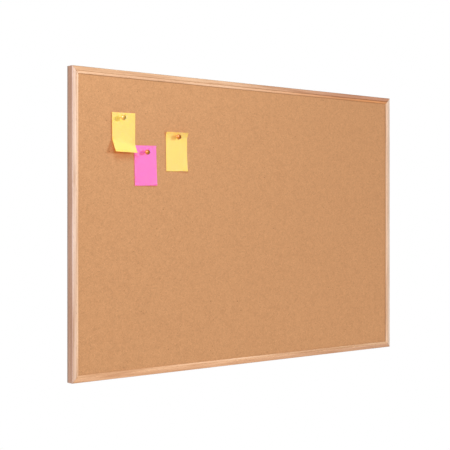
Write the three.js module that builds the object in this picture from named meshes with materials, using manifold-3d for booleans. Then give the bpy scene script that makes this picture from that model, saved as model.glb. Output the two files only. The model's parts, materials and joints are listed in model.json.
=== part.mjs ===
// A framed cork pin board with three pinned paper notes, as separate pieces in millimetres.
// X runs to the right along the board, Y into the wall and Z up. The origin lies on the wall plane, behind the
// middle of the board, so the board's face looks along -Y.

import * as THREE from "three";
import { mergeVertices } from "three/addons/utils/BufferGeometryUtils.js";
import Module from "manifold-3d";

const wasm = await Module();
wasm.setup();

// Board, outside the frame
const BOARD_WIDTH = 600;
const BOARD_HEIGHT = 400;

// Moulding of the frame, in cross-section
const OUTER_WALL = 6.9; // solid wood outside the groove
const INNER_BEVEL = 2.8; // width of the sloping band beside the cork
const BEVEL_DROP = 0.6; // how far that band falls towards the cork
const LIP_EDGE = 0.6; // thickness of the front lip at its inner edge
const QUIRK_WIDTH = 1; // the fine V-groove between the flat band and the sloping one
const QUIRK_DEPTH = 0.5;
const ARRIS = 0.5; // eased outer front edge
const BACK_LIP = 2.2; // thickness of the lip behind the panel
const BACK_LIP_SETBACK = 1.2; // how much narrower it is than the face
const MITRE_GAP = 0.2; // the joint line, measured square to the mitre

// Panel held in the groove
const CORK_THICKNESS = 2;
const CORE_THICKNESS = 5;
const BACKING_THICKNESS = 0.8;
const GLUE_LINE = 0.2;
const PANEL_BITE = 2; // reach of the panel into the groove
const EDGE_ROOM = 0.3; // from the panel's edge to the bottom of the groove
const FACE_ROOM = 0.2; // from the panel's faces to the lips

// Fits shared by several pieces
const SEAT_GAP = 0.2; // between two pieces that lie on each other
const HOLE_ROOM = 0.3; // round a fastener, on each side

// Staples across the mitres, at the back
const STAPLE_CROWN = 7;
const STAPLE_LEG = 7;
const STAPLE_THICKNESS = 0.7;
const STAPLE_WIDTH = 1.2;

// Paper notes
const NOTE_WIDTH = 36;
const NOTE_LENGTH = 53;
const NOTE_THICKNESS = 0.25; // thicker than paper, so that it is a sound solid
const NOTE_CELLS_ACROSS = 8;
const NOTE_CELLS_DOWN = 14;
const FLAT_NOTE_LIFT = 0.3; // from the cork to a note that lies flat, at its pin

// Left note, whose foot is folded off the board and whose right side curls a little
const LEFT_NOTE_LIFT = 0.9;
const LEFT_PIN_FROM_LEFT = 74.3; // from the board's edges to the pin
const LEFT_PIN_FROM_TOP = 61.8;
const LEFT_PIN_OUT = 1.2; // this pin stands out further than the others
const LEFT_HOLE_FROM_LEFT = 14.1; // from the note's edges to the pin
const LEFT_HOLE_FROM_TOP = 6.8;
const LEFT_FOLD_START = 29; // from the pin to where the fold begins
const LEFT_FOLD_RADIUS = 6;
const LEFT_SIDE_CURL_START = 8;
const LEFT_SIDE_CURL_RADIUS = 90;

// Middle note
const MIDDLE_PIN_FROM_LEFT = 113.7;
const MIDDLE_PIN_FROM_TOP = 105.2;
const MIDDLE_HOLE_FROM_LEFT = 17.8;
const MIDDLE_HOLE_FROM_TOP = 9;
const MIDDLE_CURL_START = 26;
const MIDDLE_CURL_RADIUS = 200;

// Right note, which curls a little at its top and at its foot
const RIGHT_PIN_FROM_LEFT = 165.9;
const RIGHT_PIN_FROM_TOP = 82.6;
const RIGHT_HOLE_FROM_LEFT = 18.1;
const RIGHT_HOLE_FROM_TOP = 6.8;
const RIGHT_TOP_CURL_BELOW_PIN = 5; // the top curl begins this far below the pin
const RIGHT_TOP_CURL_RADIUS = 24;
const RIGHT_FOOT_CURL_START = 30;
const RIGHT_FOOT_CURL_RADIUS = 100;

// Ball-headed pins
const HEAD_DIAMETER = 6.8;
const HEAD_STANDOFF = 5.7; // from the cork to the middle of the ball
const NECK_DIAMETER = 2.4;
const NECK_LENGTH = 0.25;
const NEEDLE_DIAMETER = 1;
const NEEDLE_BITE = 6.5; // reach of the needle into the panel
const NEEDLE_POINT = 2; // length of its tapered end
const NEEDLE_SOCKET = 2.5; // length held inside the head
const SOCKET_ROOM = 0.1;

// Hangers at the back of the stiles
const HANGER_DROP = 60; // from the top edge to the ring's pivot
const STRAP_WIDTH = 4;
const STRAP_SHEET = 0.6;
const STRAP_LENGTH = 16; // below the pivot
const STRAP_EYE_SWEEP = THREE.MathUtils.degToRad(290); // how far the strap curls round the wire
const RING_WIRE = 1.2;
const RING_ROOM = 0.25; // round the wire in the eye
const RING_SIDE_ROOM = 0.3; // between the strap and the ring's sides
const RING_HEIGHT = 10; // from the pivot to the middle of the wire at the top
const RING_BUTT_GAP = 0.5; // between the wire's ends, inside the eye

// Screws that hold the straps
const SCREW_DIAMETER = 2;
const SCREW_HEAD_DIAMETER = 4.4;
const SCREW_HEAD_HEIGHT = 1.6;
const SCREW_HEAD_RIM = 0.7; // straight edge of the head, below its crown
const SCREW_POINT = 2;
const SCREW_FROM_END = 4.5; // from the strap's lower end
const SCREW_TO_GROOVE = 0.15; // wood left between the screw's hole and the groove
const WOOD_BEYOND_SCREW = 4; // wood left in front of the screw's point

// Pads at the back of the lower rail
const BUMPER_DIAMETER = 7;
const BUMPER_HEIGHT = 3.8;
const BUMPER_TAPER = 0.5;
const BUMPER_FROM_SIDE = 30;

// Facets of round pieces
const BALL_FACETS = 18;
const WIRE_FACETS = 10;
const HOLE_FACETS = 10;
const RING_STEPS = 40;
const CROWN_STEPS = 4;

// Corners closer than this are one corner
const SAME_CORNER = 1e-4;

// Levels across the board, from the wall to the front
const FACE_WIDTH = OUTER_WALL + EDGE_ROOM + PANEL_BITE;
const PANEL_THICKNESS = CORK_THICKNESS + CORE_THICKNESS + BACKING_THICKNESS + 2 * GLUE_LINE;
const GROOVE_FRONT = BEVEL_DROP + LIP_EDGE;
const GROOVE_WIDTH = PANEL_THICKNESS + 2 * FACE_ROOM;
const MOULDING_DEPTH = GROOVE_FRONT + GROOVE_WIDTH + BACK_LIP;
const FRAME_BACK = -(BUMPER_HEIGHT + SEAT_GAP);
const FRAME_FRONT = FRAME_BACK - MOULDING_DEPTH;
const CORK_FRONT = FRAME_FRONT + GROOVE_FRONT + FACE_ROOM;
const PANEL_WIDTH = BOARD_WIDTH - 2 * (OUTER_WALL + EDGE_ROOM);
const PANEL_HEIGHT = BOARD_HEIGHT - 2 * (OUTER_WALL + EDGE_ROOM);

// Notes and their pins. A pin is placed from the board's left and top edges, and a note by where the pin goes
// through it. tilt turns the note, and each bend rolls the paper off the board beyond a line: towards is the
// rolling direction, in degrees anticlockwise from the right, start the line's distance from the pin, and turn
// the angle in degrees after which the paper goes on straight.
const NOTES = [
  {
    side: "left",
    note: "note_yellow_left",
    paper: 0xfde680,
    head: 0xf2cf63,
    pin: { fromLeft: LEFT_PIN_FROM_LEFT, fromTop: LEFT_PIN_FROM_TOP, out: LEFT_PIN_OUT },
    hole: { fromLeft: LEFT_HOLE_FROM_LEFT, fromTop: LEFT_HOLE_FROM_TOP },
    tilt: 0.6,
    lift: LEFT_NOTE_LIFT,
    bends: [
      { towards: 260, start: LEFT_FOLD_START, radius: LEFT_FOLD_RADIUS, turn: 27 },
      { towards: 10, start: LEFT_SIDE_CURL_START, radius: LEFT_SIDE_CURL_RADIUS, turn: 90 },
    ],
  },
  {
    side: "middle",
    note: "note_pink_middle",
    paper: 0xff8fd0,
    head: 0xd9893a,
    pin: { fromLeft: MIDDLE_PIN_FROM_LEFT, fromTop: MIDDLE_PIN_FROM_TOP, out: 0 },
    hole: { fromLeft: MIDDLE_HOLE_FROM_LEFT, fromTop: MIDDLE_HOLE_FROM_TOP },
    tilt: 1.3,
    lift: FLAT_NOTE_LIFT,
    bends: [{ towards: 300, start: MIDDLE_CURL_START, radius: MIDDLE_CURL_RADIUS, turn: 90 }],
  },
  {
    side: "right",
    note: "note_yellow_right",
    paper: 0xfde680,
    head: 0xd9893a,
    pin: { fromLeft: RIGHT_PIN_FROM_LEFT, fromTop: RIGHT_PIN_FROM_TOP, out: 0 },
    hole: { fromLeft: RIGHT_HOLE_FROM_LEFT, fromTop: RIGHT_HOLE_FROM_TOP },
    tilt: 0.9,
    lift: FLAT_NOTE_LIFT,
    bends: [
      { towards: 85, start: -RIGHT_TOP_CURL_BELOW_PIN, radius: RIGHT_TOP_CURL_RADIUS, turn: 90 },
      { towards: 305, start: RIGHT_FOOT_CURL_START, radius: RIGHT_FOOT_CURL_RADIUS, turn: 90 },
    ],
  },
];

// Finishes

const finish = (color, roughness, metalness = 0) =>
  new THREE.MeshStandardMaterial({ color, roughness, metalness });
const wood = () => finish(0xebbf99, 0.6);
const zincSteel = () => finish(0xb9bcc0, 0.35, 0.9);

// Tools

function piece(name, geometry, material) {
  const mesh = new THREE.Mesh(geometry, material);
  mesh.name = name;
  return mesh;
}

// A closed geometry as a solid for joins and cuts: position only, with shared corners merged.
function solidOf(geometry) {
  const bare = new THREE.BufferGeometry();
  bare.setAttribute("position", geometry.getAttribute("position"));
  bare.setIndex(geometry.getIndex());
  const merged = mergeVertices(bare, SAME_CORNER);
  return new wasm.Manifold(
    new wasm.Mesh({
      numProp: 3,
      vertProperties: new Float32Array(merged.getAttribute("position").array),
      triVerts: new Uint32Array(merged.getIndex().array),
    }),
  );
}

function geometryOf(solid) {
  const mesh = solid.getMesh();
  const geometry = new THREE.BufferGeometry();
  geometry.setAttribute("position", new THREE.BufferAttribute(mesh.vertProperties, 3));
  geometry.setIndex(new THREE.BufferAttribute(mesh.triVerts, 1));
  geometry.computeVertexNormals();
  return geometry;
}

function cut(geometry, cutters) {
  const left = cutters.reduce((solid, cutter) => solid.subtract(solidOf(cutter)), solidOf(geometry));
  return geometryOf(left);
}

// A round hole along Y, from one level to another.
function holeAlongY(x, z, radius, fromY, toY) {
  const hole = new THREE.CylinderGeometry(radius, radius, toY - fromY, HOLE_FACETS);
  return hole.translate(x, (fromY + toY) / 2, z);
}

function lathe(outline, facets) {
  return new THREE.LatheGeometry(outline.map(([radius, level]) => new THREE.Vector2(radius, level)), facets);
}

// Frame: four lengths of one moulding, mitred

// The moulding's section: the first coordinate runs inwards from the outer edge, the second back from the face.
function mouldingSection() {
  const flatBand = FACE_WIDTH - INNER_BEVEL - QUIRK_WIDTH;
  const backLipEdge = FACE_WIDTH - BACK_LIP_SETBACK;
  const grooveBack = GROOVE_FRONT + GROOVE_WIDTH;
  return new THREE.Shape(
    [
      [0, ARRIS],
      [ARRIS, 0],
      [flatBand, 0],
      [flatBand + QUIRK_WIDTH / 2, QUIRK_DEPTH],
      [flatBand + QUIRK_WIDTH, 0],
      [FACE_WIDTH, BEVEL_DROP],
      [FACE_WIDTH, GROOVE_FRONT],
      [OUTER_WALL, GROOVE_FRONT],
      [OUTER_WALL, grooveBack],
      [backLipEdge, grooveBack],
      [backLipEdge, MOULDING_DEPTH],
      [0, MOULDING_DEPTH],
    ].map(([inward, back]) => new THREE.Vector2(inward, back)),
  );
}

// One length along X with its outer edge at the given height over the board's middle.
function mouldingLength(length, height) {
  const geometry = new THREE.ExtrudeGeometry(mouldingSection(), { depth: length, bevelEnabled: false });
  const position = geometry.getAttribute("position");
  for (let i = 0; i < position.count; i += 1) {
    const inward = position.getX(i);
    const end = length / 2 - inward - MITRE_GAP / Math.SQRT2;
    const along = position.getZ(i) < length / 2 ? -end : end;
    position.setXYZ(i, along, FRAME_FRONT + position.getY(i), height - inward);
  }
  return geometry;
}

// Corners, with the turn about Y that lays a staple's crown square across the mitre.
const CORNERS = [
  { name: "top_left", side: -1, up: 1 },
  { name: "top_right", side: 1, up: 1 },
  { name: "bottom_left", side: -1, up: -1 },
  { name: "bottom_right", side: 1, up: -1 },
].map((corner) => ({ ...corner, turn: (corner.side * corner.up * Math.PI) / 4 }));

function placeAtCorner(geometry, { side, up, turn }) {
  const x = side * (BOARD_WIDTH / 2 - FACE_WIDTH / 2);
  const z = up * (BOARD_HEIGHT / 2 - FACE_WIDTH / 2);
  return geometry.rotateY(turn).translate(x, FRAME_BACK, z);
}

function cornerStaple(corner) {
  const half = STAPLE_CROWN / 2;
  const inner = half - STAPLE_THICKNESS;
  const wire = new THREE.Shape(
    [
      [-half, -STAPLE_LEG],
      [-inner, -STAPLE_LEG],
      [-inner, SEAT_GAP],
      [inner, SEAT_GAP],
      [inner, -STAPLE_LEG],
      [half, -STAPLE_LEG],
      [half, SEAT_GAP + STAPLE_THICKNESS],
      [-half, SEAT_GAP + STAPLE_THICKNESS],
    ].map(([x, y]) => new THREE.Vector2(x, y)),
  );
  const geometry = new THREE.ExtrudeGeometry(wire, { depth: STAPLE_WIDTH, bevelEnabled: false });
  return placeAtCorner(geometry.translate(0, 0, -STAPLE_WIDTH / 2), corner);
}

function stapleHoles(corner) {
  const depth = STAPLE_LEG + HOLE_ROOM;
  return [-1, 1].map((leg) => {
    const hole = new THREE.BoxGeometry(
      STAPLE_THICKNESS + 2 * HOLE_ROOM,
      2 * depth,
      STAPLE_WIDTH + 2 * HOLE_ROOM,
    );
    return placeAtCorner(hole.translate((leg * (STAPLE_CROWN - STAPLE_THICKNESS)) / 2, 0, 0), corner);
  });
}

// Hangers: a strap curled round a wire ring, and its screw, at the back of each stile

const EYE_INNER = RING_WIRE / 2 + RING_ROOM;
const EYE_OUTER = EYE_INNER + STRAP_SHEET;
const STRAP_BACK = FRAME_BACK + SEAT_GAP;
const PIVOT_Y = STRAP_BACK + EYE_OUTER;
const PIVOT_Z = BOARD_HEIGHT / 2 - HANGER_DROP;
const SCREW_HOLE_RADIUS = SCREW_DIAMETER / 2 + HOLE_ROOM;
const SCREW_Z = PIVOT_Z - STRAP_LENGTH + SCREW_FROM_END;
const SCREW_SEAT = STRAP_BACK + STRAP_SHEET + SEAT_GAP;
const SCREW_TIP = FRAME_FRONT + WOOD_BEYOND_SCREW;
const HANGER_X = BOARD_WIDTH / 2 - (OUTER_WALL - SCREW_TO_GROOVE - SCREW_HOLE_RADIUS);

const HANGERS = [
  { name: "left", x: -HANGER_X },
  { name: "right", x: HANGER_X },
];

// The strap's side view is drawn with the pivot at the origin: the first coordinate runs to the wall.
function hangerStrap({ x }) {
  const curlEnd = Math.PI - STRAP_EYE_SWEEP;
  const side = new THREE.Shape();
  side.moveTo(-EYE_OUTER, -STRAP_LENGTH);
  side.lineTo(-EYE_INNER, -STRAP_LENGTH);
  side.lineTo(-EYE_INNER, 0);
  side.absarc(0, 0, EYE_INNER, Math.PI, curlEnd, true);
  side.lineTo(EYE_OUTER * Math.cos(curlEnd), EYE_OUTER * Math.sin(curlEnd));
  side.absarc(0, 0, EYE_OUTER, curlEnd, Math.PI, false);
  const strip = new THREE.ExtrudeGeometry(side, {
    depth: STRAP_WIDTH,
    bevelEnabled: false,
    curveSegments: 2 * WIRE_FACETS,
  });
  // Swap the axes in turn, so that the strip's depth runs along X and its side view lies in Y and Z.
  const inTurn = new THREE.Matrix4().set(0, 0, 1, 0, 1, 0, 0, 0, 0, 1, 0, 0, 0, 0, 0, 1);
  strip.applyMatrix4(inTurn).translate(x - STRAP_WIDTH / 2, PIVOT_Y, PIVOT_Z);
  return cut(strip, [holeAlongY(x, SCREW_Z, SCREW_HOLE_RADIUS, FRAME_BACK, 0)]);
}

// A bent wire: along the bar inside the eye, round two corners, up both sides and over a round top.
function hangerRing({ x }) {
  const sideX = STRAP_WIDTH / 2 + RING_SIDE_ROOM + RING_WIRE / 2;
  const corner = RING_WIRE / 2;
  const bowZ = RING_HEIGHT - sideX;
  const half = [
    [RING_BUTT_GAP / 2, 0],
    [sideX / 3, 0],
    [(2 * sideX) / 3, 0],
    [sideX - corner, 0],
    [sideX - corner * (1 - Math.SQRT1_2), corner * (1 - Math.SQRT1_2)],
    [sideX, corner],
    [sideX, (corner + bowZ) / 2],
    [sideX, bowZ],
    [sideX * Math.cos(Math.PI / 6), bowZ + sideX * Math.sin(Math.PI / 6)],
    [sideX * Math.cos(Math.PI / 3), bowZ + sideX * Math.sin(Math.PI / 3)],
  ];
  const mirrored = half.map(([across, up]) => [-across, up]).reverse();
  const bend = [...half, [0, RING_HEIGHT], ...mirrored];
  const path = new THREE.CatmullRomCurve3(
    bend.map(([across, up]) => new THREE.Vector3(x + across, PIVOT_Y, PIVOT_Z + up)),
  );
  const section = new THREE.Shape(
    Array.from({ length: WIRE_FACETS }, (_, i) => {
      const angle = (2 * Math.PI * i) / WIRE_FACETS;
      return new THREE.Vector2((RING_WIRE / 2) * Math.cos(angle), (RING_WIRE / 2) * Math.sin(angle));
    }),
  );
  return new THREE.ExtrudeGeometry(section, { steps: RING_STEPS, extrudePath: path, bevelEnabled: false });
}

function hangerScrew({ x }) {
  const shank = SCREW_DIAMETER / 2;
  const head = SCREW_HEAD_DIAMETER / 2;
  const crown = Array.from({ length: CROWN_STEPS + 1 }, (_, i) => {
    const angle = (Math.PI * i) / (2 * CROWN_STEPS);
    const rise = (SCREW_HEAD_HEIGHT - SCREW_HEAD_RIM) * Math.sin(angle);
    return [head * Math.cos(angle), SCREW_SEAT + SCREW_HEAD_RIM + rise];
  });
  const outline = [
    [0, SCREW_TIP],
    [shank, SCREW_TIP + SCREW_POINT],
    [shank, SCREW_SEAT],
    [head, SCREW_SEAT],
    ...crown,
  ];
  return lathe(outline, HOLE_FACETS).translate(x, 0, SCREW_Z);
}

const screwHole = ({ x }) => holeAlongY(x, SCREW_Z, SCREW_HOLE_RADIUS, SCREW_TIP - HOLE_ROOM, 0);

// Wall bumpers: tapered pads under the back of the lower rail

function wallBumper(x) {
  const radius = BUMPER_DIAMETER / 2;
  const outline = [
    [0, -BUMPER_HEIGHT],
    [radius, -BUMPER_HEIGHT],
    [radius - BUMPER_TAPER, 0],
    [0, 0],
  ];
  const z = -BOARD_HEIGHT / 2 + (FACE_WIDTH - BACK_LIP_SETBACK) / 2;
  return lathe(outline, BALL_FACETS).translate(x, 0, z);
}

// Panel: cork, soft core and backing, with a hole for each needle

const pinX = ({ pin }) => pin.fromLeft - BOARD_WIDTH / 2;
const pinZ = ({ pin }) => BOARD_HEIGHT / 2 - pin.fromTop;
const NEEDLE_HOLE_RADIUS = NEEDLE_DIAMETER / 2 + HOLE_ROOM;
const NEEDLE_TIP = CORK_FRONT + NEEDLE_BITE;

const needleHole = (entry) =>
  holeAlongY(pinX(entry), pinZ(entry), NEEDLE_HOLE_RADIUS, FRAME_FRONT, NEEDLE_TIP + HOLE_ROOM);

function panelLayer(front, thickness) {
  const sheet = new THREE.BoxGeometry(PANEL_WIDTH, thickness, PANEL_HEIGHT);
  return cut(sheet.translate(0, front + thickness / 2, 0), NOTES.map(needleHole));
}

// Pins: a ball head with a short neck, and a needle held in its socket

const HEAD_MIDDLE = CORK_FRONT - HEAD_STANDOFF;
const NECK_END = HEAD_MIDDLE + HEAD_DIAMETER / 2 + NECK_LENGTH;
const SOCKET_END = NECK_END - NECK_LENGTH - NEEDLE_SOCKET;

function pinHead(entry) {
  const ball = HEAD_DIAMETER / 2;
  const neck = NECK_DIAMETER / 2;
  const socket = NEEDLE_DIAMETER / 2 + SOCKET_ROOM;
  const steps = BALL_FACETS / 2;
  const sweep = Math.PI - Math.asin(neck / ball);
  const round = Array.from({ length: steps + 1 }, (_, i) => {
    const angle = (sweep * i) / steps;
    return [ball * Math.sin(angle), HEAD_MIDDLE - ball * Math.cos(angle)];
  });
  const outline = [
    ...round,
    [neck, NECK_END],
    [socket, NECK_END],
    [socket, SOCKET_END - SOCKET_ROOM],
    [0, SOCKET_END - SOCKET_ROOM],
  ];
  return lathe(outline, BALL_FACETS).translate(pinX(entry), -entry.pin.out, pinZ(entry));
}

function pinNeedle(entry) {
  const radius = NEEDLE_DIAMETER / 2;
  const outline = [
    [0, SOCKET_END],
    [radius, SOCKET_END],
    [radius, NEEDLE_TIP - NEEDLE_POINT],
    [0, NEEDLE_TIP],
  ];
  return lathe(outline, HOLE_FACETS).translate(pinX(entry), -entry.pin.out, pinZ(entry));
}

// Notes: thin sheets that roll off the board along their bends

// Where a point of the flat sheet lies once the sheet is bent, with the pin's hole at the origin.
function bentPoint({ lift, bends }, x, z) {
  const point = new THREE.Vector3(x, -lift, z);
  for (const { towards, start, radius, turn } of bends) {
    const angle = THREE.MathUtils.degToRad(towards);
    const beyond = x * Math.cos(angle) + z * Math.sin(angle) - start;
    if (beyond > 0) {
      const rolled = Math.min(beyond / radius, THREE.MathUtils.degToRad(turn));
      const straight = beyond - radius * rolled;
      const drawnIn = beyond - radius * Math.sin(rolled) - straight * Math.cos(rolled);
      point.x -= drawnIn * Math.cos(angle);
      point.z -= drawnIn * Math.sin(angle);
      point.y -= radius * (1 - Math.cos(rolled)) + straight * Math.sin(rolled);
    }
  }
  return point;
}

// The sheet's unit normal, towards the viewer, from two short steps along the sheet.
function bentNormal(entry, x, z) {
  const step = 0.01;
  const here = bentPoint(entry, x, z);
  const across = bentPoint(entry, x + step, z).sub(here);
  const up = bentPoint(entry, x, z + step).sub(here);
  return across.cross(up).normalize();
}

function noteSheet(entry) {
  const columns = NOTE_CELLS_ACROSS + 1;
  const rows = NOTE_CELLS_DOWN + 1;
  const back = [];
  const front = [];
  for (let row = 0; row < rows; row += 1) {
    for (let column = 0; column < columns; column += 1) {
      const x = (NOTE_WIDTH * column) / NOTE_CELLS_ACROSS - entry.hole.fromLeft;
      const z = entry.hole.fromTop - (NOTE_LENGTH * row) / NOTE_CELLS_DOWN;
      const point = bentPoint(entry, x, z);
      back.push(point);
      front.push(point.clone().addScaledVector(bentNormal(entry, x, z), NOTE_THICKNESS));
    }
  }
  const points = [...back, ...front];
  const index = [];
  const quad = (a, b, c, d) => index.push(a, b, c, a, c, d);
  for (let row = 0; row < NOTE_CELLS_DOWN; row += 1) {
    for (let column = 0; column < NOTE_CELLS_ACROSS; column += 1) {
      const corner = row * columns + column;
      const face = back.length + corner;
      quad(corner, corner + 1, corner + columns + 1, corner + columns);
      quad(face, face + columns, face + columns + 1, face + 1);
    }
  }
  // The rim, walked once round the sheet's edge.
  const rim = [];
  for (let column = 0; column < NOTE_CELLS_ACROSS; column += 1) rim.push(column);
  for (let row = 0; row < NOTE_CELLS_DOWN; row += 1) rim.push(row * columns + NOTE_CELLS_ACROSS);
  for (let column = NOTE_CELLS_ACROSS; column > 0; column -= 1) rim.push(NOTE_CELLS_DOWN * columns + column);
  for (let row = NOTE_CELLS_DOWN; row > 0; row -= 1) rim.push(row * columns);
  rim.forEach((from, i) => {
    const to = rim[(i + 1) % rim.length];
    quad(from, from + back.length, to + back.length, to);
  });
  const sheet = new THREE.BufferGeometry().setFromPoints(points);
  sheet.setIndex(index);
  const reach = HEAD_STANDOFF + NOTE_THICKNESS;
  const holed = cut(sheet, [holeAlongY(0, 0, NEEDLE_HOLE_RADIUS, -reach, reach)]);
  const turn = -THREE.MathUtils.degToRad(entry.tilt);
  return holed.rotateY(turn).translate(pinX(entry), CORK_FRONT, pinZ(entry));
}

// The assembly

const board = new THREE.Group();

const frameHoles = [...CORNERS.flatMap(stapleHoles), ...HANGERS.map(screwHole)];
const FRAME_SIDES = [
  { name: "frame_rail_top", length: BOARD_WIDTH, height: BOARD_HEIGHT / 2, turn: 0 },
  { name: "frame_stile_right", length: BOARD_HEIGHT, height: BOARD_WIDTH / 2, turn: Math.PI / 2 },
  { name: "frame_rail_bottom", length: BOARD_WIDTH, height: BOARD_HEIGHT / 2, turn: Math.PI },
  { name: "frame_stile_left", length: BOARD_HEIGHT, height: BOARD_WIDTH / 2, turn: -Math.PI / 2 },
];
for (const { name, length, height, turn } of FRAME_SIDES) {
  board.add(piece(name, cut(mouldingLength(length, height).rotateY(turn), frameHoles), wood()));
}
for (const corner of CORNERS) {
  board.add(piece(`corner_staple_${corner.name}`, cornerStaple(corner), zincSteel()));
}

const coreFront = CORK_FRONT + CORK_THICKNESS + GLUE_LINE;
const backingFront = coreFront + CORE_THICKNESS + GLUE_LINE;
board.add(piece("cork_sheet", panelLayer(CORK_FRONT, CORK_THICKNESS), finish(0xd29b6c, 0.85)));
board.add(piece("softboard_core", panelLayer(coreFront, CORE_THICKNESS), finish(0xb08d63, 0.9)));
board.add(piece("backing_sheet", panelLayer(backingFront, BACKING_THICKNESS), finish(0xa98058, 0.8)));

for (const entry of NOTES) {
  board.add(piece(entry.note, noteSheet(entry), finish(entry.paper, 0.8)));
  board.add(piece(`pin_head_${entry.side}`, pinHead(entry), finish(entry.head, 0.25)));
  board.add(piece(`pin_needle_${entry.side}`, pinNeedle(entry), finish(0xc4c6c8, 0.25, 1)));
}

for (const hanger of HANGERS) {
  board.add(piece(`hanger_strap_${hanger.name}`, hangerStrap(hanger), zincSteel()));
  board.add(piece(`hanger_ring_${hanger.name}`, hangerRing(hanger), zincSteel()));
  board.add(piece(`hanger_screw_${hanger.name}`, hangerScrew(hanger), zincSteel()));
}

const bumperX = BOARD_WIDTH / 2 - BUMPER_FROM_SIDE;
board.add(piece("wall_bumper_left", wallBumper(-bumperX), finish(0x3a3835, 0.8)));
board.add(piece("wall_bumper_right", wallBumper(bumperX), finish(0x3a3835, 0.8)));

export default board;
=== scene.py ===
"""A framed cork pin board with pinned notes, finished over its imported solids.

The file is laid out as an add-on and run as a script. Lengths are in metres, in the solids' own frame: X runs
right along the board, Y into the wall and Z up, so the board's face looks along -Y.
"""

import json
import math
from typing import NamedTuple

import bmesh
import bpy
from bpy.props import FloatProperty, FloatVectorProperty, IntProperty, PointerProperty
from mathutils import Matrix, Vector

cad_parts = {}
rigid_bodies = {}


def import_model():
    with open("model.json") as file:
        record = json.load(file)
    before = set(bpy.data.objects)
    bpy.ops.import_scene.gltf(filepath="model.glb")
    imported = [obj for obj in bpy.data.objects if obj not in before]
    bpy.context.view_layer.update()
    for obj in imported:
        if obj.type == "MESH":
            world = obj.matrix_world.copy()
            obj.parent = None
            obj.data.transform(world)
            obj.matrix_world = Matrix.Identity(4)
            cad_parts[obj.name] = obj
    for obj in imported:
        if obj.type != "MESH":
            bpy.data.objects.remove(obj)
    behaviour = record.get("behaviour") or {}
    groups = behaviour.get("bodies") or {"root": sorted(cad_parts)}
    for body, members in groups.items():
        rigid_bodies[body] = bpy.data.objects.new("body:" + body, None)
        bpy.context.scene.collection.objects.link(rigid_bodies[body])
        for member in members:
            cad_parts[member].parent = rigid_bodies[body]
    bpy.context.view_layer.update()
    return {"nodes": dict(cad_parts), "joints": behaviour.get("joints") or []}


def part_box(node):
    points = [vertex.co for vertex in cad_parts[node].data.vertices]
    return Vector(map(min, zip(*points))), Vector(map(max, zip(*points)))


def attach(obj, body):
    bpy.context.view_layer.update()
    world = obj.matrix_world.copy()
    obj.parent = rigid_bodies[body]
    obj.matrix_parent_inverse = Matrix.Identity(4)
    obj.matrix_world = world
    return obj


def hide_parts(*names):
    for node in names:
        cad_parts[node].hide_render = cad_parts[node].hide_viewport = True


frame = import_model()

bl_info = {
    "name": "Framed Pin Board",
    "version": (1, 0, 0),
    "blender": (4, 5, 0),
    "location": "3D View > Sidebar > Pin Board",
    "description": "Finishes a framed cork pin board with notes, pins and hangers",
    "category": "Object",
}

MM = 0.001
# Points nearer than MERGE become one point, and edges shorter than SLIVER are dissolved.
MERGE = 0.001 * MM
SLIVER = 0.002 * MM
# This turn stands a flat grid up, facing forwards, and lays a cylinder along Y.
UPRIGHT = (math.pi / 2, 0, 0)
WHITE = (1.0, 1.0, 1.0, 1.0)

# Readings from the solids
RAIL_LOW, RAIL_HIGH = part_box("frame_rail_top")
FACE_Y = RAIL_LOW.y
BACK_Y = RAIL_HIGH.y
DEPTH = BACK_Y - FACE_Y
FACE_WIDTH = RAIL_HIGH.z - RAIL_LOW.z
FOOT_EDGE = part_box("frame_rail_bottom")[0].z
BOARD_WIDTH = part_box("frame_stile_right")[1].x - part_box("frame_stile_left")[0].x
BOARD_HEIGHT = RAIL_HIGH.z - FOOT_EDGE
PIVOTS = {joint["name"]: Vector(joint["pos_m"]) for joint in frame["joints"] if "pos_m" in joint}


class Bend(NamedTuple):
    """A line where a note starts to roll: its direction and distance from the pin, radius and turn."""

    towards: float
    start: float
    radius: float
    turn: float = 90


class Note(NamedTuple):
    """A note: its side, paper and solid, its pin hole from its left and top edges, turn, lift and bends."""

    side: str
    paper: str
    node: str
    hole_left: float
    hole_top: float
    tilt: float
    lift: float
    bends: tuple


class Stick(NamedTuple):
    """A stick of the frame: its solid, its turn, its heartwood's tints and the tones round its section, which
    hold painted light and shade.
    """

    node: str
    turn: float
    heart: tuple
    tones: tuple


class Lamp(NamedTuple):
    """A lamp: its name, the stage's setting for its strength, its kind, place, aim, spread and colour."""

    name: str
    setting: str
    kind: str
    place: tuple
    aim: tuple
    spread: float
    colour: tuple


# This bend starts a metre from the pin, so it leaves a note as it is.
FLAT = Bend(towards=0, start=1, radius=1)
NOTES = (
    Note("left", "yellow", "note_yellow_left", 14.1 * MM, 6.8 * MM, 0.6, 0.9 * MM,
         (Bend(260, 27.1 * MM, 14 * MM, 27), Bend(10, 8 * MM, 90 * MM))),
    Note("middle", "pink", "note_pink_middle", 17.8 * MM, 9 * MM, 1.3, 0.3 * MM,
         (Bend(300, 26 * MM, 200 * MM), FLAT)),
    Note("right", "yellow", "note_yellow_right", 18.1 * MM, 6.8 * MM, 0.9, 0.3 * MM,
         (Bend(85, -5 * MM, 24 * MM), Bend(305, 30 * MM, 100 * MM))),
)
PIN_TINTS = {"left": "yellow", "middle": "orange", "right": "orange"}
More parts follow.
